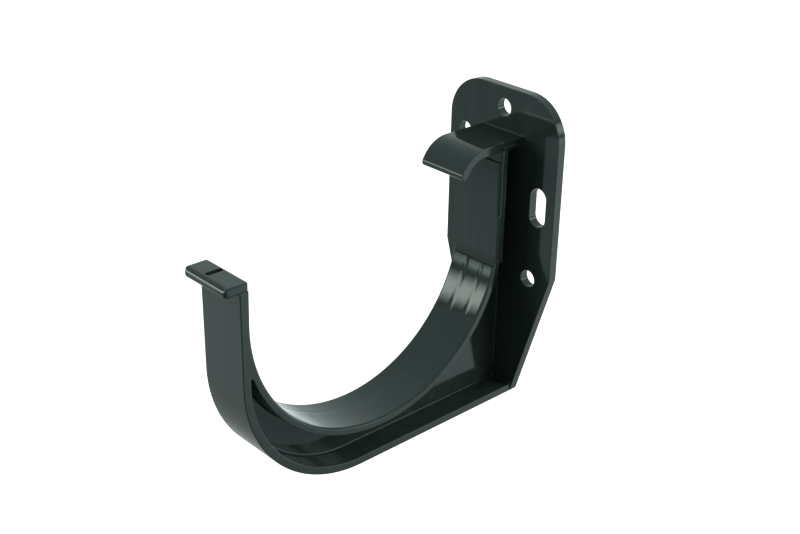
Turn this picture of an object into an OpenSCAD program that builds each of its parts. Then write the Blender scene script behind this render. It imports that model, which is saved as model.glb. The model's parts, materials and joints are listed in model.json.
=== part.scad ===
// Fascia bracket for a half-round rainwater gutter, moulded as one solid.
// The back of the fascia plate lies on Y = 0 against the wall and the gutter side is -Y.
// X runs along the gutter, and Z = 0 is the foot of the bracket.

/* [Gutter seat] */
// Radius of the round seat that carries the gutter
seat_r = 54; // [50:0.5:60]
// Height of the lowest point of the seat above the foot
seat_floor = 15; // [12:0.5:20]
// Thickness of the strap under the gutter
strap_t = 2.7; // [2:0.1:4]
// Width of the strap, the flange and the front arm
strap_w = 20.6; // [18:0.2:24]

/* [Front arm and flange] */
// Thickness of the front arm above the seat
arm_t = 3.4; // [3:0.1:5]
// Height of the top of the front tab above the centre of the seat
arm_rise = 15.4; // [10:0.2:22]
// How far the solid front arm reaches below the centre of the seat
arm_drop = 18.2; // [17:0.2:22]
// Thickness of the flange along the bottom and the front
flange_t = 3; // [2:0.1:4]
// Outer radius of the flange at the lower front
flange_r = 48; // [36:1:54]
// Thickness of the central web between strap, flange and plate
web_t = 2.6; // [2:0.1:4]

/* [Front tab] */
// How far the tab stands out in front of the arm
tab_reach = 5.4; // [3:0.2:8]
// Thickness of the tab
tab_t = 3.2; // [2.4:0.1:4]
// How far the tab stands out past the left side of the arm
tab_side = 0.6; // [0:0.1:1.5]
// Radius of the two front corners of the tab
tab_corner_r = 1.4; // [0.6:0.1:2.4]
// Radius along the upper front edge of the tab
tab_edge_r = 1.5; // [0.6:0.1:1.8]
// Width of the blind slot in the top of the tab
tab_slot_w = 2; // [1:0.1:3]
// Length of the blind slot
tab_slot_l = 6.1; // [3:0.1:6.5]
// Depth of the blind slot
tab_slot_d = 2; // [1:0.1:2.2]
// Wall between the blind slot and the gutter side of the tab
tab_slot_wall = 0.6; // [0.5:0.1:1.2]
// Distance of the blind slot from the middle of the arm
tab_slot_x = 2.4; // [0:0.1:6]

/* [Rear pad] */
// Distance from the wall to the front of the pad
pad_front = 15.2; // [12:0.2:20]
// Thickness of the pad
pad_t = 3; // [2.4:0.1:4]
// How far the pad stands out past the strap at each side
pad_side = 0.7; // [0:0.1:1.5]
// How far the flat pad cuts into the round seat
pad_bite = 1.1; // [0.6:0.1:2]
// Height of the bevelled upper part of the pad
pad_bevel_h = 20.2; // [8:0.2:24]
// Width of the bevel at each front corner of the upper part
pad_bevel = 1.4; // [0.5:0.1:2.2]
// Height of the recess between the pad and the hook
ledge_h = 3.6; // [2:0.1:6]
// Depth of that recess behind the front of the pad
ledge_d = 1.1; // [0.5:0.1:1.8]

/* [Rear hook] */
// Height of the top of the hook above the centre of the seat
hook_rise = 33.3; // [28:0.1:38]
// Width of the hook
hook_w = 19.8; // [16:0.2:22]
// Thickness of the hook
hook_t = 3.2; // [2.4:0.1:4]
// Distance from the wall to where the hook starts to curve down
hook_flat = 22; // [18:0.2:26]
// Outer radius of the curved end
hook_r = 12.3; // [10:0.1:15]
// Angle that the curved end turns through
hook_turn = 64; // [50:1:80]
// Radius of the fillet under the hook, behind the pad
hook_root_r = 2.2; // [1:0.1:3]

/* [Fascia plate] */
// Width of the plate
plate_w = 52; // [48:1:64]
// Thickness of the plate
plate_t = 3.6; // [3:0.1:5]
// Height of the plate above the top of the hook
head_h = 15.7; // [14:0.1:24]
// Radius of the two top corners
plate_corner_r = 15.5; // [8:0.5:18]
// Height at which the sides start to taper to the foot
taper_h = 52; // [40:1:60]

/* [Screw holes] */
// Diameter of the round holes
hole_d = 6.5; // [5:0.1:7]
// Depth of the top hole below the top of the plate
top_hole_drop = 7.5; // [6:0.1:9]
// Depth of the upper side hole below the top of the plate
side_hole_drop = 20.8; // [18:0.1:24]
// Distance of the upper side hole from the side of the plate
side_hole_edge = 7.4; // [6:0.1:9]
// Height of the two lower holes above the foot
low_hole_h = 49.7; // [46:0.1:54]
// Distance of the two lower holes from the side of the plate
low_hole_edge = 10.3; // [9:0.1:11]
// Width of the two upright slots
slot_w = 7.3; // [5:0.1:8]
// Length of the two upright slots
slot_l = 14.6; // [10:0.1:18]
// Height of the middle of the slots above the foot
slot_h = 78.1; // [74:0.1:82]
// Distance of the middle of the slots from the side of the plate
slot_edge = 7.7; // [6:0.1:8.5]

/* [Hidden] */
$fn = 120;
// How far a cut runs past the face that it opens
clear = 1;
// How far the strap and the pad run into each other
lap = 1;

// Distances out from the wall
seat_out = pad_front - pad_bite + seat_r;
arm_in = seat_out + seat_r;
arm_out = arm_in + arm_t;
pad_back = pad_front - pad_t;
// Heights above the foot
seat_z = seat_floor + seat_r;
tab_z = seat_z + arm_rise;
hook_z = seat_z + hook_rise;
hook_under = hook_z - hook_t;
pad_top = hook_under - ledge_h;
plate_h = hook_z + head_h;
// Height at which the round seat runs into the flat pad
knee_z = seat_z - sqrt(pow(seat_r, 2) - pow(seat_r - pad_bite, 2));
pad_w = strap_w + 2 * pad_side;

// Gives a side view, drawn as distance from the wall and height, its width along X
module across(width) {
    rotate([90, 0, 90])
        linear_extrude(width, center = true)
            mirror([1, 0]) children();
}

// Gives a front view its thickness, from the wall outward
module out_from_wall(thickness) {
    rotate([90, 0, 0])
        linear_extrude(thickness) children();
}

// Front view of the plate: round shoulders above, tapered to the width of the flange below
module plate_outline() {
    shoulder = plate_w / 2 - plate_corner_r;
    for (side = [-shoulder, shoulder])
        translate([side, plate_h - plate_corner_r]) circle(plate_corner_r);
    translate([-shoulder, taper_h]) square([2 * shoulder, plate_h - taper_h]);
    translate([-plate_w / 2, taper_h]) square([plate_w, plate_h - plate_corner_r - taper_h]);
    polygon([
        [-strap_w / 2, 0], [strap_w / 2, 0],
        [plate_w / 2, taper_h], [-plate_w / 2, taper_h]
    ]);
}

// A slot with round ends, about its middle
module long_slot(width, length) {
    reach = (length - width) / 2;
    square([width, 2 * reach], center = true);
    for (end = [-reach, reach])
        translate([0, end]) circle(d = width);
}

// Front view of every screw hole: top, upper left, two slots and two lower holes
module screw_holes() {
    translate([0, plate_h - top_hole_drop]) circle(d = hole_d);
    translate([side_hole_edge - plate_w / 2, plate_h - side_hole_drop]) circle(d = hole_d);
    for (side = [-1, 1]) {
        translate([side * (plate_w / 2 - slot_edge), slot_h]) long_slot(slot_w, slot_l);
        translate([side * (plate_w / 2 - low_hole_edge), low_hole_h]) circle(d = hole_d);
    }
}

// Side view of the frame below the tab, drawn in from its edge by inset
module frame_outline(inset) {
    corner = flange_r - inset;
    front = arm_out - inset;
    translate([front - corner, inset + corner])
        intersection() {
            circle(corner);
            translate([0, -corner]) square(corner);
        }
    translate([0, inset]) square([front - corner, tab_z - inset]);
    translate([0, inset + corner]) square([front, tab_z - inset - corner]);
}

module fascia_plate() {
    difference() {
        out_from_wall(plate_t) plate_outline();
        translate([0, clear, 0])
            out_from_wall(plate_t + 2 * clear) screw_holes();
    }
}

module seat_strap() {
    across(strap_w)
        difference() {
            translate([seat_out, seat_z]) circle(seat_r + strap_t);
            translate([seat_out, seat_z]) circle(seat_r);
            translate([seat_out, seat_z]) square(2 * seat_r);
            translate([0, knee_z + lap]) square([seat_out, 2 * seat_r]);
        }
}

module outer_flange() {
    across(strap_w)
        difference() {
            frame_outline(0);
            frame_outline(flange_t);
        }
}

// Solid from the tab down to the narrow end of the pocket between strap and flange
module front_arm() {
    across(strap_w) {
        translate([arm_in, seat_z]) square([arm_t, arm_rise - tab_t / 2]);
        difference() {
            translate([arm_out - flange_t - strap_t, seat_z - arm_drop])
                square([flange_t + strap_t, arm_drop]);
            translate([seat_out, seat_z]) circle(seat_r);
        }
    }
}

// The web fills everything between the plate, the strap and the flange
module central_web() {
    pad_middle = pad_front - pad_t / 2;
    across(web_t)
        difference() {
            union() {
                frame_outline(flange_t / 2);
                square([pad_middle, hook_z - hook_t / 2]);
            }
            translate([seat_out, seat_z]) circle(seat_r + strap_t / 2);
            translate([pad_middle, knee_z]) square([arm_out, hook_z]);
        }
}

// The flat that the back of the gutter leans on, bevelled where the gutter's edge slides in
module rear_pad() {
    foot = knee_z - lap;
    difference() {
        across(pad_w) {
            translate([pad_back, foot]) square([pad_t, pad_top - foot]);
            translate([pad_back, foot]) square([pad_t - ledge_d, hook_under - foot]);
        }
        for (side = [0, 1])
            mirror([side, 0, 0])
                translate([pad_w / 2, -pad_front, pad_top - pad_bevel_h])
                    linear_extrude(pad_bevel_h + ledge_h)
                        polygon([
                            [-pad_bevel - clear, -clear], [clear, -clear],
                            [clear, pad_bevel + clear]
                        ]);
    }
}

// The hook that the rear edge of the gutter slips under, with a round lip
module rear_hook() {
    middle_r = hook_r - hook_t / 2;
    curve_z = hook_z - hook_r;
    across(hook_w) {
        translate([0, hook_under]) square([hook_flat, hook_t]);
        translate([hook_flat, curve_z])
            intersection() {
                difference() {
                    circle(hook_r);
                    circle(hook_r - hook_t);
                }
                polygon([
                    [0, 0],
                    for (turn = [0, hook_turn / 2, hook_turn]) 2 * hook_r * [sin(turn), cos(turn)]
                ]);
            }
        translate([hook_flat + middle_r * sin(hook_turn), curve_z + middle_r * cos(hook_turn)])
            circle(d = hook_t);
        difference() {
            translate([pad_back - hook_root_r, hook_under - hook_root_r])
                square([hook_root_r + pad_t / 2, hook_root_r + hook_t / 2]);
            translate([pad_back - hook_root_r, hook_under - hook_root_r]) circle(hook_root_r);
        }
    }
}

// Plan of the tab: square at the gutter side, with round front corners
module tab_plan() {
    length = arm_out + tab_reach - arm_in;
    left = -strap_w / 2 - tab_side;
    width = strap_w + tab_side;
    translate([left, tab_corner_r - length]) square([width, length - tab_corner_r]);
    translate([left + tab_corner_r, -length]) square([width - 2 * tab_corner_r, length]);
    for (corner = [left + tab_corner_r, left + width - tab_corner_r])
        translate([corner, tab_corner_r - length]) circle(tab_corner_r);
}

// Side view of the tab, with its upper front edge rounded
module tab_profile() {
    front = arm_out + tab_reach - tab_edge_r;
    translate([arm_in, tab_z - tab_t]) square([front - arm_in, tab_t]);
    translate([arm_in, tab_z - tab_t]) square([front + tab_edge_r - arm_in, tab_t - tab_edge_r]);
    translate([front, tab_z - tab_edge_r]) circle(tab_edge_r);
}

// The lip that the gutter's front bead clips over, with its blind slot
module front_tab() {
    difference() {
        intersection() {
            across(strap_w + 2 * tab_side) tab_profile();
            translate([0, -arm_in, tab_z - tab_t])
                linear_extrude(tab_t) tab_plan();
        }
        translate([-tab_slot_x, -arm_in - tab_slot_wall - tab_slot_l / 2, tab_z - tab_slot_d])
            linear_extrude(tab_slot_d + clear) long_slot(tab_slot_w, tab_slot_l);
    }
}

module gutter_bracket() {
    color([0.2, 0.24, 0.23]) {
        fascia_plate();
        rear_hook();
        rear_pad();
        seat_strap();
        outer_flange();
        central_web();
        front_arm();
        front_tab();
    }
}

gutter_bracket();
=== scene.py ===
import json
import math
import bpy
import numpy as np
from mathutils import Matrix, Vector
from mathutils.geometry import tessellate_polygon


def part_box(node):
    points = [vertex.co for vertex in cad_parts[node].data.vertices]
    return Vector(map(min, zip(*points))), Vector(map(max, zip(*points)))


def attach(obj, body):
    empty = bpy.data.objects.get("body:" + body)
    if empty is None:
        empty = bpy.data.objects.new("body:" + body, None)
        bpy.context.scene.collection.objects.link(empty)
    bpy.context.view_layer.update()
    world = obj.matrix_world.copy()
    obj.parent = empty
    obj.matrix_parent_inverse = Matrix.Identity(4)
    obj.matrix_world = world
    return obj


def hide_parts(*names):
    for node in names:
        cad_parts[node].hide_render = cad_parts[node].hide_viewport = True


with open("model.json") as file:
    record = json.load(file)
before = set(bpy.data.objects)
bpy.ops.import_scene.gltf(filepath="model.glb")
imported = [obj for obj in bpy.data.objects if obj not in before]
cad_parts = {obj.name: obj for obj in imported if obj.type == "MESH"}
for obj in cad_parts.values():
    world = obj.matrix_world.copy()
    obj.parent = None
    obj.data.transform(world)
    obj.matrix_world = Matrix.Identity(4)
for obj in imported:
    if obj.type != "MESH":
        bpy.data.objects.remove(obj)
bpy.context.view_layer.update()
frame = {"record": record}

# The moulding's outlines are drawn in millimetres and everything else is in metres. out = distance
# from the wall, which is -Y here. Each view says where its two directions and its depth point.
mm = 0.001
tiny = 1e-12  # keeps a division by nothing from failing
boxLow, boxHigh = (np.array(corner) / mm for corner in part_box("gutter_bracket"))
sideView = np.array([[0, -1, 0], [0, 0, 1], [1, 0, 0]])  # out, height, then depth along X
frontView = np.array([[1, 0, 0], [0, 0, 1], [0, -1, 0]])  # X, height, then depth outward
planView = np.array([[1, 0, 0], [0, -1, 0], [0, 0, 1]])  # X, out, then depth upward


def mount(name):
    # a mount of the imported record: its place, and its own sizes under their own names
    row = next(row for row in frame["record"]["mounts"] if row["name"] == name)
    x, y, z = np.array(row["pos_m"]) / mm
    return {"x": x, "out": -y, "up": z, **row["dims"]}


camera = {
    "place": (0.29321, -0.32254, 0.25636),
    "turnDeg": 47.176,
    "downDeg": 25.842,
    "rollDeg": 1.031,
    "lensMm": 58.34,
    "sensorMm": 36.0,
    "shift": (-0.0024, 0.0021),
    "nearest": 0.01,  # what is closer than this isn't seen
}


def addCamera(c):
    data = bpy.data.cameras.new("camera")
    data.lens = c["lensMm"]
    data.sensor_width = c["sensorMm"]
    data.shift_x, data.shift_y = c["shift"]
    data.clip_start = c["nearest"]
    view = bpy.data.objects.new("camera", data)
    turn = Matrix.Rotation(math.radians(c["turnDeg"]), 4, "Z")
    tip = Matrix.Rotation(math.radians(90 - c["downDeg"]), 4, "X")
    roll = Matrix.Rotation(math.radians(c["rollDeg"]), 4, "Z")
    view.matrix_world = Matrix.Translation(c["place"]) @ turn @ tip @ roll
    bpy.context.scene.collection.objects.link(view)
    bpy.context.scene.camera = view


addCamera(camera)
bpy.context.scene.view_settings.view_transform = "Standard"
print("camera placed")


def unit(v):
    return v / np.maximum(np.linalg.norm(v, axis=-1, keepdims=True), tiny)


def arc(middle, radius, fromDeg, toDeg, step=1.0, count=0):
    # middle + radius * (cos angle, sin angle), one point about every step or count of them; each row
    # ends in 0, because a point of a curve has no corner to round
    count = count or max(6, int(abs(math.radians(toDeg - fromDeg)) * radius / step))
    angle = np.radians(np.linspace(fromDeg, toDeg, count + 1))
    return np.stack([middle[0] + radius * np.cos(angle), middle[1] + radius * np.sin(angle),
                     np.zeros(count + 1)], 1)


def pill(middle, length, width, step):
    # the outline of a slot: two half circles whose middles are length - width apart
    x, y = middle
    reach, radius = (length - width) / 2, width / 2
    return np.vstack([arc((x, y + reach), radius, 0, 180, step), arc((x, y - reach), radius, 180, 360, step)])


def softLoop(*parts, steps=6):
    # A closed outline. Each row is u, v and the radius of that corner: the corner becomes an arc that
    # touches both its sides, with its middle on the bisector, radius / sin(half the inside angle) away.
    nearest = 0.001  # points closer than this are one point
    rows = np.vstack([np.atleast_2d(np.array(part, float)) for part in parts])
    point, radius = rows[:, :2], rows[:, 2:]
    back = unit(np.roll(point, 1, 0) - point)
    ahead = unit(np.roll(point, -1, 0) - point)
    half = 0.5 * np.arccos(np.clip((back * ahead).sum(1, keepdims=True), -1, 1))
    middle = point + unit(back + ahead) * radius / np.maximum(np.sin(half), tiny)
    reach = radius / np.maximum(np.tan(half), tiny)
    start, end = point + back * reach - middle, point + ahead * reach - middle
    first = np.arctan2(start[:, 1], start[:, 0])
    turn = (np.arctan2(end[:, 1], end[:, 0]) - first + math.pi) % (2 * math.pi) - math.pi
    angle = first[:, None] + turn[:, None] * np.linspace(0, 1, steps + 1)
    curve = middle[:, None] + radius[:, None] * np.stack([np.cos(angle), np.sin(angle)], 2)
    curve = np.where(radius[:, None] > 0, curve, point[:, None]).reshape(-1, 2)
    gap = np.linalg.norm(curve - np.roll(curve, 1, 0), axis=1)
    curve = curve[gap > nearest]
    area = (curve[:, 0] * np.roll(curve[:, 1], -1) - curve[:, 1] * np.roll(curve[:, 0], -1)).sum()
    return curve if area > 0 else curve[::-1]


def outward(loop):
    # the chord between both neighbours, turned a quarter to the right
    chord = np.roll(loop, -1, 0) - np.roll(loop, 1, 0)
    return unit(np.stack([chord[:, 1], -chord[:, 0]], 1))


def quarter(radius, steps=5):
    # rows of a rounded edge from the flat face to the wall, radius * (1 - sin) in and radius * (1 - cos)
    # down; the radius may change along the loop
    angle = np.linspace(0, math.pi / 2, steps + 1)[:, None]
    radius = np.atleast_1d(radius)[None]
    return radius * (1 - np.sin(angle)), radius * (1 - np.cos(angle))


def skin(loop, inset, height, axes, side=1):
    # point(row, i) = loop(i) - inset(row, i) * outward normal, at height(row, i) along the third axis
    flat = loop[None] - inset[..., None] * outward(loop)[None]
    tall = np.broadcast_to(height, flat.shape[:2])
    return {"points": np.dstack([flat, tall]) @ axes, "flat": flat, "axes": axes, "side": side}


def slab(loop, low, high, lowEdge, highEdge, axes, dip=None, dipAt=None):
    # one closed wall from the high face over a rounded edge, down the side and round the low edge;
    # between both edges the side is set in by dip(row, i) at the height dipAt(row)
    highIn, highDrop = quarter(highEdge)
    lowIn, lowDrop = quarter(lowEdge)
    flat = np.zeros(len(loop))
    inset = [highIn + flat, lowIn[::-1] + flat]
    height = [high - highDrop + flat, low + lowDrop[::-1] + flat]
    if dip is not None:
        inset.insert(1, dip)
        height.insert(1, dipAt + flat)
    return skin(loop, np.vstack(inset), np.vstack(height), axes)


def rimmed(loop, face, depth, rim, root, axes, side=1, faceAt=None):
    # a blind opening: rounded rim, straight wall, then a small fillet onto its bottom; the fillet's
    # radius and the height of the rim, faceAt, may change along the loop
    rimIn, rimDrop = quarter(rim)
    rootIn, rootDrop = quarter(root)
    flat = np.zeros(len(loop))
    rimHeight = flat + (face if faceAt is None else faceAt) - side * rimDrop
    rootHeight = flat + side * (face * side - depth + rootDrop[::-1])
    inset = np.vstack([rimIn + flat, -rootIn[::-1] + flat])
    height = np.vstack([rimHeight, rootHeight])
    return skin(loop[::-1], inset[:, ::-1], height[:, ::-1], axes, side)


def cover(skins, rows, facing):
    # a flat face between those rows of those walls, which looks along the third axis or against it
    return {"skins": skins, "rows": rows, "facing": facing}


def buildMesh(name, solids):
    # Joins every solid's walls and covers into one mesh. A wall's normals stand across its rows and its
    # columns. A cover is turned round as a whole where it came out facing the wrong way, and the rows
    # that it shares with walls take its own normal.
    points, normals, faces, base = [], [], [], 0
    for walls, covers in solids:
        starts = []
        for wall in walls:
            grid = wall["points"]
            rowCount, loopCount = grid.shape[:2]
            across = np.roll(grid, -1, 1) - np.roll(grid, 1, 1)
            down = np.gradient(grid, axis=0)
            sign = np.sign(np.linalg.det(wall["axes"])) * wall["side"]
            normals.append(unit(np.cross(down, across)) * sign)
            points.append(grid)
            index = base + np.arange(rowCount * loopCount).reshape(rowCount, loopCount)
            turned = np.roll(index, -1, 1)
            quads = np.stack([index[:-1], index[1:], turned[1:], turned[:-1]], 2).reshape(-1, 4)
            faces += (quads if sign > 0 else quads[:, ::-1]).tolist()
            starts.append(index)
            base += index.size
        for lid in covers:
            rims = [walls[s]["flat"][r] for s, r in zip(lid["skins"], lid["rows"])]
            ids = np.concatenate([starts[s][r] for s, r in zip(lid["skins"], lid["rows"])])
            flat = np.concatenate(rims)
            found = np.array(tessellate_polygon([[Vector((u, v, 0)) for u, v in rim] for rim in rims]))
            a, b, c = flat[found[:, 0]], flat[found[:, 1]], flat[found[:, 2]]
            area = (b[:, 0] - a[:, 0]) * (c[:, 1] - a[:, 1]) - (b[:, 1] - a[:, 1]) * (c[:, 0] - a[:, 0])
            axes = walls[0]["axes"]
            wanted = lid["facing"] * np.sign(np.linalg.det(axes))
            faces += ids[found if area.sum() * wanted > 0 else found[:, ::-1]].tolist()
            lid["ids"], lid["normal"] = ids, lid["facing"] * axes[2]
    points = np.concatenate([p.reshape(-1, 3) for p in points]) * mm
    normals = np.concatenate([n.reshape(-1, 3) for n in normals])
    for _, covers in solids:
        for lid in covers:
            normals[lid["ids"]] = lid["normal"]
    mesh = bpy.data.meshes.new(name)
    mesh.from_pydata(points.tolist(), [], faces)
    mesh.polygons.foreach_set("use_smooth", np.ones(len(faces), bool))
    mesh.normals_split_custom_set_from_vertices(normals.tolist())
    mesh.update()
    piece = bpy.data.objects.new(name, mesh)
    bpy.context.scene.collection.objects.link(piece)
    return piece


plate = {
    "thick": mount("top_screw_hole")["length_mm"],
    "shoulder": 15.5,
    "taperHeight": 52.0,
    "taperCorner": 3.0,
    "footHeight": 0.04,
    "footCorner": 0.8,
    "edge": 0.22,
    "holeRadius": mount("top_screw_hole")["r_mm"],
    "slotWidth": 7.3,
    "slotLength": 14.6,
    "holeEdge": 0.12,
    "step": 0.8,  # from point to point round the shoulders
    "holeStep": 0.5,
}


def fasciaPlate(p, footWidth):
    # Front view: round shoulders, sides that taper to the foot, and every screw opening right through.
    half, top, foot = boxHigh[0], boxHigh[2], footWidth / 2
    across, up = half - p["shoulder"], top - p["shoulder"]
    outline = softLoop(
        [(-foot, p["footHeight"], p["footCorner"]), (foot, p["footHeight"], p["footCorner"])],
        [(half, p["taperHeight"], p["taperCorner"])],
        arc((across, up), p["shoulder"], 0, 90, p["step"]),
        arc((-across, up), p["shoulder"], 90, 180, p["step"]),
        [(-half, p["taperHeight"], p["taperCorner"])],
    )
    pair = mount("lower_screw_holes")
    middles = [(at["x"], at["up"]) for at in (mount("top_screw_hole"), mount("upper_side_hole"))]
    middles += [(side * pair["spacing_x_mm"] / 2, pair["up"]) for side in (1, -1)]
    holes = [arc(middle, p["holeRadius"], 0, 360, p["holeStep"])[:-1] for middle in middles]
    for at in (mount("right_adjusting_slot"), mount("left_adjusting_slot")):
        holes.append(pill((at["x"], at["up"]), p["slotLength"], p["slotWidth"], p["holeStep"]))
    walls = [slab(outline, 0, p["thick"], p["edge"], p["edge"], frontView)]
    walls += [slab(softLoop(hole)[::-1], 0, p["thick"], p["holeEdge"], p["holeEdge"], frontView)
              for hole in holes]
    every = list(range(len(walls)))
    return walls, [cover(every, [0] * len(walls), 1), cover(every, [-1] * len(walls), -1)]


# where the cradle, the hook and the pad meet at the plate
rear = {
    "plate": plate["thick"],
    "padBack": 12.2,
    "padFront": 15.2,
    "padFoot": 57.2,
    "hookUnder": mount("rear_hook")["up"],
    "hookThick": 3.2,
    "hookRoot": 2.2,
    "inPlate": 0.4,  # outlines that run into the plate end this far from the wall
    "inPad": 1.0,  # and those that run into the pad end this far in front of its back
    "graze": 0.05,  # openings and fillets end this far inside what they meet
}
seat = {
    "radius": 54.0,
    "strap": 2.7,
    "width": 20.6,
    "flange": 3.0,
    "flangeRadius": 48.0,
    "arm": 3.4,
    "armTop": 81.7,  # inside the tab
    "tipDrop": 18.2,  # from the seat's middle to the front end of the pocket
    "tipWidth": 0.62,
    "tipCorner": 0.25,
    "pocketCorner": 1.0,
    "web": 2.6,
    "corner": 0.45,
    "edge": 0.4,
    "seatEdge": 0.85,
    "seatReach": (0.45, 1.0),  # off its circle and above its middle, as far as that edge goes
    "root": 0.7,
    # the fillet at the web grows over so many millimetres, from that share of it, away from the
    # pocket's tip and away from the plate
    "rootTip": (8.0, 0.2),
    "rootPlate": (6.0, 0.35),
    "narrow": (80.0, 10.0, 0.8),  # behind the pad the pocket's rim steps in: from height, over, by
    "inHook": 1.7,  # how far the outline's back runs up into the hook
    "kneeRadius": 20.0,
    "kneeStep": 0.3,
    # the knee's end and the point after it lie this far inside the pad's face; that point and the
    # next, well inside the pad, are this far above the knee's end
    "kneeSink": (0.003, 0.004),
    "kneeRise": (1.0, 4.0),
    # X, width, depth and share left near the front of each shallow groove
    "grooves": ((-3.0, 3.2, 0.1, 0.45), (4.5, 3.0, 0.08, 0.1)),
    "grooveAngle": (189, 202, 213, 224, 268, 285, 305, 318),  # degrees round the seat, 180 at the pad
    "grooveKnee": (0, 1, 1, 0.15, 0.1, 0, 0, 0),
    "grooveFront": (0, 0, 0, 0, 0.1, 1, 1, 0),
    "grooveRows": 91,
    "grooveMargin": 1.0,
}
seatMiddle = (mount("gutter_seat")["out"], mount("gutter_seat")["up"] + seat["radius"])
armInner = seatMiddle[0] + seat["radius"]


def seatGrooves(c, around, x):
    # opposite the web the seat has sunk into two shallow grooves that are plainest at the knee and
    # near the bottom: depth * share at that angle * (1 + cos(pi * distance / half the width)) / 2
    dip = 0
    for at, wide, depth, frontShare in c["grooves"]:
        share = np.interp(around, c["grooveAngle"], c["grooveKnee"])
        share = share + frontShare * np.interp(around, c["grooveAngle"], c["grooveFront"])
        side = np.clip((x - at) / wide * 2, -1, 1)
        dip = dip + depth * share * 0.5 * (1 + np.cos(side * math.pi))
    return dip


def cradle(c, r):
    # Side view of strap, flange and arm as one outline, with a blind pocket left and right of the web.
    out, up = seatMiddle
    armOuter, flangeRadius, half = armInner + c["arm"], c["flangeRadius"], c["width"] / 2
    flangeMiddle = (armOuter - flangeRadius, flangeRadius)
    padIn, backTop = r["padBack"] + r["inPad"], r["hookUnder"] + c["inHook"]
    # the knee: a circle that touches the front of the pad and, from inside, the seat
    knee = c["kneeRadius"]
    kneeOut = r["padFront"] + knee
    kneeUp = up - math.sqrt((c["radius"] - knee) ** 2 - (out - kneeOut) ** 2)
    kneeDeg = math.degrees(math.atan2(kneeUp - up, kneeOut - out))
    outline = softLoop(
        [(r["inPlate"], 0, c["corner"])],
        arc(flangeMiddle, flangeRadius, -90, 0),
        [(armOuter, c["armTop"], c["corner"]), (armInner, c["armTop"], c["corner"])],
        arc(seatMiddle, c["radius"], 0, kneeDeg),
        arc((kneeOut - c["kneeSink"][0], kneeUp), knee, kneeDeg, -180, c["kneeStep"])[1:],
        [(r["padFront"] - c["kneeSink"][1], kneeUp + c["kneeRise"][0], 0)],
        [(padIn, kneeUp + c["kneeRise"][1], 0), (padIn, backTop, 0), (r["inPlate"], backTop, 0)],
    )
    fromSeat = np.hypot(outline[:, 0] - out, outline[:, 1] - up) - c["radius"]
    reach, rise = c["seatReach"]
    onSeat = (np.abs(fromSeat) < reach) * (outline[:, 1] < up + rise)
    around = np.degrees(np.arctan2(outline[:, 1] - up, outline[:, 0] - out)) % 360
    side = half - c["grooveMargin"]
    x = np.linspace(side, -side, c["grooveRows"])[:, None]
    edge = c["edge"] + (c["seatEdge"] - c["edge"]) * onSeat
    body = slab(outline, -half, half, edge, edge, sideView, seatGrooves(c, around, x) * onSeat, x)

    under, inner, tip = c["radius"] + c["strap"], armOuter - c["flange"], up - c["tipDrop"]
    tipDeg = math.degrees(math.asin((tip - up) / under))
    backDeg = -180 + math.degrees(math.acos((out - r["padBack"] - r["graze"]) / under))
    top, rearEnd = r["hookUnder"] + r["graze"], r["plate"] - r["graze"]
    pocket = softLoop(
        arc(seatMiddle, under, tipDeg, backDeg)[1:],
        [(r["padBack"] + r["graze"], top, r["hookRoot"]), (rearEnd, top, c["pocketCorner"])],
        [(rearEnd, c["flange"], c["pocketCorner"])],
        arc(flangeMiddle, flangeRadius - c["flange"], -90, 0),
        [(inner, tip, c["tipCorner"]), (inner - c["tipWidth"], tip, c["tipCorner"])],
    )
    start, over, by = c["narrow"]
    rim = half - by * np.clip((pocket[:, 1] - start) / over, 0, 1)
    (tipOver, tipLeast), (plateOver, plateLeast) = c["rootTip"], c["rootPlate"]
    root = c["root"] * np.minimum(np.clip((tip - pocket[:, 1]) / tipOver, tipLeast, 1),
                                  np.clip((pocket[:, 0] - r["plate"]) / plateOver, plateLeast, 1))
    pockets = [rimmed(pocket, side * half, half - c["web"] / 2, c["edge"], root, sideView, side, side * rim)
               for side in (1, -1)]
    sides = [cover([0, 1], [0, 0], 1), cover([0, 2], [-1, 0], -1)]
    webFaces = [cover([1], [-1], 1), cover([2], [-1], -1)]
    return [body] + pockets, sides + webFaces


hook = {
    "width": 19.8,
    "flat": mount("rear_hook")["out"],
    "radius": 12.3,
    "turnDeg": 64.0,
    "edge": 0.3,
    "root": 0.6,
    "step": 0.6,  # from point to point round the bend, then the lip and both fillets
    "lipStep": 0.35,
    "rootStep": 0.12,
    "underStep": 0.4,
}


def rearHook(h, r):
    # Side view: flat from the plate, then a bend that ends in a round lip; the foot of the outline
    # drops behind the pad as the fillet there.
    under, thick, padIn, fillet = r["hookUnder"], r["hookThick"], r["padBack"] + r["inPad"], r["hookRoot"]
    top, root, face = under + thick, h["root"], r["plate"] - r["graze"]
    middle = (h["flat"], top - h["radius"])
    lipDeg = 90 - h["turnDeg"]
    lipOut, lipUp = math.cos(math.radians(lipDeg)), math.sin(math.radians(lipDeg))
    centre = h["radius"] - thick / 2
    lip = (middle[0] + centre * lipOut, middle[1] + centre * lipUp)
    outline = softLoop(
        [(r["inPlate"], top + 2 * root, 0), (face, top + 2 * root, 0)],
        arc((face + root, top + root), root, 180, 270, h["rootStep"]),
        arc(middle, h["radius"], 90, lipDeg, h["step"]),
        arc(lip, thick / 2, lipDeg, lipDeg - 180, h["lipStep"])[1:-1],
        arc(middle, h["radius"] - thick, lipDeg, 90, h["step"]),
        [(padIn, under, 0), (padIn, under - fillet, 0)],
        arc((r["padBack"] - fillet, under - fillet), fillet, 0, 90, h["underStep"]),
        [(r["inPlate"], under, 0)],
    )
    half = h["width"] / 2
    wall = slab(outline, -half, half, h["edge"], h["edge"], sideView)
    return [wall], [cover([0], [0], 1), cover([0], [-1], -1)]


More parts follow.
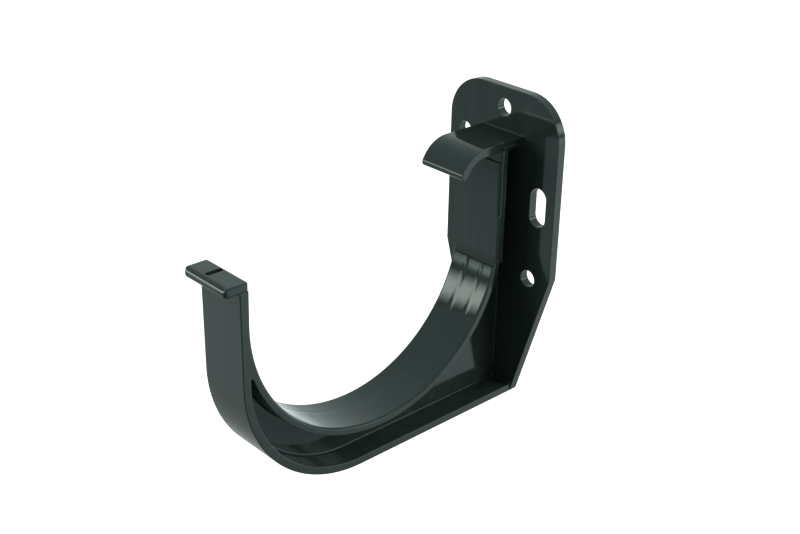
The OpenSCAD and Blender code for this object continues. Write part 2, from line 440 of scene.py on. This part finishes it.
pad = {
    "width": 22.0,
    "bevelHeight": 20.2,
    "ledgeHeight": 3.6,
    "ledgeDepth": 0.4,
    # radius of the right front corner and how far it turns before the side's own crisp edge
    "lowCorner": (1.6, 40),
    "highCorner": (2.0, 60),
    "ledgeCorner": (1.6, 60),
    "cornerCount": 8,
    "crisp": 0.25,
    "backCorner": 0.1,
    "leftCorner": 0.04,
    "topEdge": 0.4,
    "topSteps": 8,
    "inHook": 0.8,  # how far the block runs up into the hook
    "hold": 0.02,  # a row this near an end keeps the shading flat up to it
    "ledgeRow": 0.2,  # height of the last straight row above the ledge
    "blend": 1.0,  # height over which the corner changes at the foot of the bevel
    "blendRows": 5,
}


def rearPad(p, r):
    # Plan view carried upward: a plain block, then the same with its right front corner well rounded,
    # then set back to the ledge. Each level is one plan outline at its own height.
    top = r["hookUnder"] - p["ledgeHeight"]
    front, half = r["padFront"], p["width"] / 2
    ledge, end = front - p["ledgeDepth"], p["ledgeHeight"] + p["inHook"]

    def level(corner, face):
        radius, sweep = corner
        reach = radius * math.sin(math.radians(sweep))
        bend = arc((half - reach, face - radius), radius, 90 - sweep, 90, count=p["cornerCount"])
        bend[0, 2] = p["crisp"]
        back = [(side * half, r["padBack"], p["backCorner"]) for side in (-1, 1)]
        return softLoop(back, bend, [(-half, face, p["leftCorner"])])

    def between(one, two, share):
        return tuple(a + (b - a) * share for a, b in zip(one, two))

    # height, corner, how far out the face is
    levels = [(top + rise, p["ledgeCorner"], ledge) for rise in (end, end - p["hold"], p["ledgeRow"])]
    for inset, drop in np.hstack(quarter(1.0, p["topSteps"])):
        corner = between(p["ledgeCorner"], p["highCorner"], 1 - inset)
        levels.append((top - p["topEdge"] * drop, corner, front - p["ledgeDepth"] * inset))
    for share in np.linspace(0, 1, p["blendRows"]):
        height = top - p["bevelHeight"] + p["blend"] * (0.5 - share)
        levels.append((height, between(p["highCorner"], p["lowCorner"], share), front))
    levels += [(r["padFoot"] + rise, p["lowCorner"], front) for rise in (p["hold"], 0)]
    flat = np.stack([level(corner, face) for _, corner, face in levels])
    tall = np.broadcast_to(np.array([height for height, *_ in levels])[:, None], flat.shape[:2])
    wall = {"points": np.dstack([flat, tall]) @ planView, "flat": flat, "axes": planView, "side": 1}
    return [wall], [cover([0], [0], 1), cover([0], [-1], -1)]


tab = {
    "thick": 3.2,
    "top": mount("front_tab")["up"],
    "left": 11.4,
    "right": 10.32,
    "corner": 1.5,
    "cornerSteps": 10,
    "straight": 3.0,  # the sides have a point this far behind the front
    "backCorner": 1.0,
    "frontEdge": 1.9,
    "frontInset": 1.95,
    "edge": 0.45,
    "edgeSteps": 8,
    "sideEdge": 0.8,
    "lowEdge": 0.95,
    "slotWidth": 2.0,
    "slotLength": 6.1,
    "slotDepth": 2.0,
    "slotX": 2.4,
    "slotWall": 0.6,
    "slotEdge": 0.12,
    "slotRoot": 0.3,
    "slotStep": 0.3,
}


def frontTab(t):
    # Plan view; the top edge's radius grows with the square of the way round the front corners to
    # the front, and a little toward the right side.
    front, left, right, corner = -boxLow[1], -t["left"], t["right"], t["corner"]
    sideEnd = front - t["straight"]
    plan = softLoop([(left, armInner, t["backCorner"]), (right, armInner, t["backCorner"])],
                    [(right, sideEnd, 0), (right, front, corner)],
                    [(left, front, corner), (left, sideEnd, 0)], steps=t["cornerSteps"])
    ahead = np.clip((plan[:, 1] - (front - corner)) / corner, 0, 1)
    aside = np.clip((plan[:, 0] - right) / t["backCorner"] + 1, 0, 1)
    sideMore = (t["sideEdge"] - t["edge"]) * aside ** 2
    radius = t["edge"] + np.maximum((t["frontEdge"] - t["edge"]) * ahead ** 2, sideMore)
    inward = t["edge"] + np.maximum((t["frontInset"] - t["edge"]) * ahead ** 2, sideMore)
    bend, drop = quarter(1.0, t["edgeSteps"])
    lowIn, lowDrop = quarter(t["lowEdge"])
    inset = np.vstack([bend * inward, lowIn[::-1] + 0 * inward])
    height = np.vstack([t["top"] - drop * radius, t["top"] - t["thick"] + lowDrop[::-1] + 0 * radius])
    body = skin(plan, inset, height, planView)
    slotAt = (-t["slotX"], armInner + t["slotWall"] + t["slotLength"] / 2)
    slot = softLoop(pill(slotAt, t["slotLength"], t["slotWidth"], t["slotStep"]))
    blind = rimmed(slot, t["top"], t["slotDepth"], t["slotEdge"], t["slotRoot"], planView)
    topFace, underside, slotFloor = cover([0, 1], [0, 0], 1), cover([0], [-1], -1), cover([1], [-1], 1)
    return [body, blind], [topFace, underside, slotFloor]


# what the ejector pins and the gate left on the web
marks = {
    "pins": ((112.6, 26.3, 3.5, 0.06), (32.5, 7.9, 0.65, 0.4)),  # out, height, radius, how proud
    "edgeShare": 0.8,  # of how proud it is
    "inWeb": 0.5,
    "inWebEdge": 0.01,
    "step": 0.25,
}


def pinMarks(m, webThick):
    # low round pads standing on the face of the web, each with a soft rim
    face = webThick / 2
    walls, covers = [], []
    for out, up, radius, proud in m["pins"]:
        ring = softLoop(arc((out, up), radius, 0, 360, m["step"])[:-1])
        low, high = face - m["inWeb"], face + proud
        walls.append(slab(ring, low, high, m["inWebEdge"], m["edgeShare"] * proud, sideView))
        covers += [cover([len(walls) - 1], [0], 1), cover([len(walls) - 1], [-1], -1)]
    return walls, covers


moulding = buildMesh("bracketMoulding", [
    cradle(seat, rear),
    fasciaPlate(plate, seat["width"]),
    rearHook(hook, rear),
    rearPad(pad, rear),
    frontTab(tab),
    pinMarks(marks, seat["web"]),
])
print("moulding built:", len(moulding.data.polygons), "faces")

mixA, mixB, mixOut = 6, 7, 2  # a Mix node repeats its sockets' names, so its colours go by number


def srgb(code):
    # sRGB hex to linear light: c / 12.92 below 0.04045, else ((c + 0.055) / 1.055) ** 2.4
    parts = [int(code[i:i + 2], 16) / 255 for i in (1, 3, 5)]
    return [c / 12.92 if c <= 0.04045 else ((c + 0.055) / 1.055) ** 2.4 for c in parts] + [1.0]


def feed(tree, node, sockets):
    # sockets are named or numbered; another node's output is linked in, anything else is the value
    for key, value in sockets.items():
        if isinstance(value, bpy.types.NodeSocket):
            tree.links.new(value, node.inputs[key])
        else:
            node.inputs[key].default_value = value


def addNode(tree, kind, sockets=None, **settings):
    # one node with its settings and what goes into its sockets; gives back its outputs
    node = tree.nodes.new("ShaderNode" + kind)
    for key, value in settings.items():
        setattr(node, key, value)
    feed(tree, node, sockets or {})
    return node.outputs


# Rigid PVC (uPVC), coloured through and injected into a polished mould: near-black grey-green with a
# clear hard gloss, so most of what the eye sees is the room mirrored a little softly in the skin. The
# melt leaves faint streaks along its flow, sink and cooling leave waves of a few millimetres that make
# straight reflections wander, and the mould's polish leaves a skin grain of about half a millimetre.
upvc = {
    "colour": "#1e2624",
    "streak": "#232c29",
    "flow": (0.0035, 0.03),  # metres across and along a streak
    "flowDetail": 3.0,
    "flowRange": (0.4, 0.75),
    "ior": 1.53,
    "specular": 0.2,
    "gleam": "#e6feff",  # the pigment leaves the gloss itself slightly green
    "roughness": (0.07, 0.11),
    "patch": 0.012,  # metres across a patch of duller or brighter gloss
    "patchDetail": 4.0,
    "patchRange": (0.3, 0.7),
    "wave": 0.0055,  # metres from wave to wave
    "waveDetail": 1.0,
    "waveHeight": 0.00002,
    "grain": 0.0005,  # metres
    "grainDetail": 2.0,
    "grainHeight": 0.0000012,
}


def mouldedUpvc(m):
    material = bpy.data.materials.new("mouldedUpvc")
    material.use_nodes = True
    tree = material.node_tree
    place = addNode(tree, "TexCoord")["Object"]

    def noise(size, detail, where=place):
        return addNode(tree, "TexNoise", {"Vector": where, "Scale": 1 / size, "Detail": detail})["Fac"]

    across, along = m["flow"]
    stretched = addNode(tree, "Mapping", {"Vector": place, "Scale": (1, 1, across / along)})["Vector"]
    low, high = m["flowRange"]
    streaks = addNode(tree, "MapRange", {"Value": noise(across, m["flowDetail"], stretched),
                                         "From Min": low, "From Max": high})["Result"]
    colour = addNode(tree, "Mix", {"Factor": streaks, mixA: srgb(m["colour"]), mixB: srgb(m["streak"])},
                     data_type="RGBA")[mixOut]
    low, high = m["patchRange"]
    smooth, rough = m["roughness"]
    gloss = addNode(tree, "MapRange", {"Value": noise(m["patch"], m["patchDetail"]), "From Min": low,
                                       "From Max": high, "To Min": smooth, "To Max": rough})["Result"]
    waves = noise(m["wave"], m["waveDetail"])
    wavy = addNode(tree, "Bump", {"Height": waves, "Distance": m["waveHeight"]})["Normal"]
    grain = noise(m["grain"], m["grainDetail"])
    grainy = addNode(tree, "Bump", {"Height": grain, "Distance": m["grainHeight"], "Normal": wavy})["Normal"]
    feed(tree, tree.nodes["Principled BSDF"], {
        "Base Color": colour,
        "Roughness": gloss,
        "Normal": grainy,
        "IOR": m["ior"],
        "Specular IOR Level": m["specular"],
        "Specular Tint": srgb(m["gleam"]),
    })
    return material


moulding.data.materials.append(mouldedUpvc(upvc))
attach(moulding, "root")
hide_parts("gutter_bracket")
print("material and riding done")

room = {
    "fill": 0.42,  # plain light from all round
    "mirrored": 1.12,  # how bright the room is where the moulding mirrors it
    "tint": "#eefefd",  # the room as it is mirrored is slightly cool
    "paintRoughness": 0.9,
}


def seenLight(tree, direct, mirrored):
    # direct for the camera's own rays, mirrored for rays off or through the object, 0 for the rest
    path = addNode(tree, "LightPath")
    bent = addNode(tree, "Math", {0: path["Is Glossy Ray"], 1: path["Is Transmission Ray"]},
                   operation="MAXIMUM")[0]
    own = addNode(tree, "Math", {0: path["Is Camera Ray"], 1: direct}, operation="MULTIPLY")[0]
    return addNode(tree, "Math", {0: bent, 1: mirrored, 2: own}, operation="MULTIPLY_ADD")[0]


def seenHue(tree, mirrored):
    # white for the camera's own rays, the other colour for every other ray
    own = addNode(tree, "LightPath")["Is Camera Ray"]
    return addNode(tree, "Mix", {"Factor": own, mixA: srgb(mirrored), mixB: srgb("#ffffff")},
                   data_type="RGBA")[mixOut]


def addWorld(r):
    world = bpy.data.worlds.new("studio")
    world.use_nodes = True
    bpy.context.scene.world = world
    tree = world.node_tree
    seen = seenLight(tree, 1.0, r["mirrored"])
    strength = addNode(tree, "Math", {0: seen, 1: r["fill"]}, operation="MAXIMUM")[0]
    feed(tree, tree.nodes["Background"], {"Color": seenHue(tree, r["tint"]), "Strength": strength})


def addSheet(name, corners, height, paintName, colour):
    # a flat sheet of the studio and its paint; gives back the sheet, the paint's nodes and its shader
    mesh = bpy.data.meshes.new(name)
    mesh.from_pydata([(x, y, height) for x, y in corners], [], [tuple(range(len(corners)))])
    sheet = bpy.data.objects.new(name, mesh)
    bpy.context.scene.collection.objects.link(sheet)
    paint = bpy.data.materials.new(paintName)
    paint.use_nodes = True
    mesh.materials.append(paint)
    shader = paint.node_tree.nodes["Principled BSDF"]
    feed(paint.node_tree, shader, {"Base Color": srgb(colour), "Roughness": room["paintRoughness"]})
    return sheet, paint.node_tree, shader


def oblong(x, y):
    return [(-x, -y), (x, -y), (x, y), (-x, y)]


floor = {
    "drop": 0.22,  # below the foot of the plate
    "half": 4.0,  # from its middle to each side
    "colour": "#aaacac",
    "seen": 1.0,  # its own light as the camera sees it
    "mirrored": 0.92,  # and at its middle as it is mirrored
    # painted light: the mirrored floor is made brighter toward the back right and darker toward the front
    # left
    "lean": (0.42, 0.3),  # more toward the back right, less toward the front left, per metre
    # painted shadow of the object on the floor, seen only as it is mirrored: its middle, and the
    # metres from there over which the light comes up to full
    "shadeAt": (-0.03, -0.06),
    "shadeReach": (0.2, 0.58),
}


def addFloor(f):
    # painted light and shade, seen only in reflections: (mirrored + lean . place) * smooth step of the
    # distance from the painted shadow's middle
    corners = oblong(f["half"], f["half"])
    _, tree, shader = addSheet("floor", corners, -f["drop"], "paleFloor", f["colour"])
    place = addNode(tree, "TexCoord")["Object"]
    # painted shadow of the object: the mirrored floor is darkened near its middle
    away = addNode(tree, "VectorMath", {0: place, 1: (*f["shadeAt"], -f["drop"])}, operation="DISTANCE")
    near, far = f["shadeReach"]
    paintedShade = addNode(tree, "MapRange", {"Value": away["Value"], "From Min": near, "From Max": far},
                    interpolation_type="SMOOTHSTEP")["Result"]
    lean = addNode(tree, "VectorMath", {0: place, 1: (*f["lean"], 0)}, operation="DOT_PRODUCT")["Value"]
    level = addNode(tree, "Math", {0: lean, 1: f["mirrored"]}, operation="ADD")[0]
    soft = addNode(tree, "Math", {0: level, 1: paintedShade}, operation="MULTIPLY")[0]
    feed(tree, shader, {"Emission Color": seenHue(tree, room["tint"]),
                        "Emission Strength": seenLight(tree, f["seen"], soft)})


# painted shade: a black disc just above the floor under the camera, seen only as a reflection, standing for
# the camera's shadow on the floor
cameraShade = {
    "middle": (0.33, -0.5),
    "radius": 0.25,
    "step": 0.05,  # from point to point of its rim
    "lift": 0.005,
    "colour": "#050505",
}


def addCameraShade(f, floorDrop):
    rim = arc(f["middle"], f["radius"], 0, 360, f["step"])[:-1, :2]
    # the painted shade of the camera: black, and seen only in reflections
    disc, *_ = addSheet("cameraFlag", rim, f["lift"] - floorDrop, "blackCard", f["colour"])
    disc.visible_camera = disc.visible_diffuse = disc.visible_shadow = False


# Soft panels light the object but aren't mirrored, and cards are only mirrored. Each has what it aims
# at, its turn from the wall side toward +X, its rise above level, its distance, its apparent width and
# height in degrees, and its brightness. A card also has the share of each half that stays fully bright.
panels = {
    "softLeft": {"aim": (0, -0.065, 0.06), "turn": -140, "rise": 14, "distance": 2.6,
                 "wide": 44, "tall": 24, "bright": 6.0},
    "panelRight": {"aim": (0, -0.065, 0.06), "turn": 45, "rise": 25, "distance": 2.6,
                   "wide": 56, "tall": 50, "bright": 5.0},
    "overhead": {"aim": (0, -0.065, 0.06), "turn": -60, "rise": 75, "distance": 1.3,
                 "wide": 40, "tall": 40, "bright": 1.0},
}
cards = {
    "cardLeft": {"aim": (0, -0.02, 0.045), "turn": -140, "rise": 15.5, "distance": 0.4,
                 "wide": 54, "tall": 20, "bright": 13.0, "plain": 0.15, "colour": "#fff7ee"},
    "cardLow": {"aim": (0, -0.02, 0.045), "turn": -143, "rise": 1.0, "distance": 0.4,
                "wide": 18, "tall": 7.5, "bright": 7.0, "plain": 0.0, "colour": "#f6fff8"},
    "cardRight": {"aim": (0, -0.065, 0.06), "turn": 47, "rise": 15, "distance": 2.0,
                  "wide": 46, "tall": 28, "bright": 5.5, "plain": 0.2, "colour": "#f4fbf8"},
}


def breadths(s):
    # 2 * distance * tan(half the apparent angle), across and up
    return [2 * s["distance"] * math.tan(math.radians(s[side] / 2)) for side in ("wide", "tall")]


def aim(thing, s):
    # stands it off along turn and rise, and turns its face to what it aims at
    turn, rise = math.radians(s["turn"]), math.radians(s["rise"])
    toward = Vector((math.sin(turn) * math.cos(rise), math.cos(turn) * math.cos(rise), math.sin(rise)))
    thing.location = Vector(s["aim"]) + s["distance"] * toward
    thing.rotation_euler = toward.to_track_quat("Z", "Y").to_euler()


def addPanel(name, s):
    # a soft panel of that apparent size and brightness: its power is pi * area * brightness
    lamp = bpy.data.lights.new(name, "AREA")
    lamp.shape = "RECTANGLE"
    lamp.size, lamp.size_y = breadths(s)
    lamp.energy = math.pi * lamp.size * lamp.size_y * s["bright"]
    panel = bpy.data.objects.new(name, lamp)
    aim(panel, s)
    panel.visible_camera = panel.visible_glossy = False
    bpy.context.scene.collection.objects.link(panel)


def addCard(name, s):
    # a glowing card: brightness * smooth fade across * smooth fade up
    halves = [size / 2 for size in breadths(s)]
    card, tree, shader = addSheet(name, oblong(*halves), 0, name, "#000000")
    aim(card, s)
    place = addNode(tree, "TexCoord")["Object"]
    parts = addNode(tree, "SeparateXYZ", {"Vector": place})
    glow = s["bright"]
    for axis, reach in zip("XY", halves):
        away = addNode(tree, "Math", {0: parts[axis]}, operation="ABSOLUTE")[0]
        fade = addNode(tree, "MapRange", {"Value": away, "From Min": s["plain"] * reach, "From Max": reach,
                                          "To Min": 1.0, "To Max": 0.0}, interpolation_type="SMOOTHSTEP")
        glow = addNode(tree, "Math", {0: glow, 1: fade["Result"]}, operation="MULTIPLY")[0]
    feed(tree, shader, {"Emission Color": srgb(s["colour"]), "Emission Strength": glow})
    card.visible_camera = card.visible_diffuse = card.visible_shadow = False


addWorld(room)
addFloor(floor)
addCameraShade(cameraShade, floor["drop"])
for name, values in panels.items():
    addPanel(name, values)
for name, values in cards.items():
    addCard(name, values)
print("studio lit")
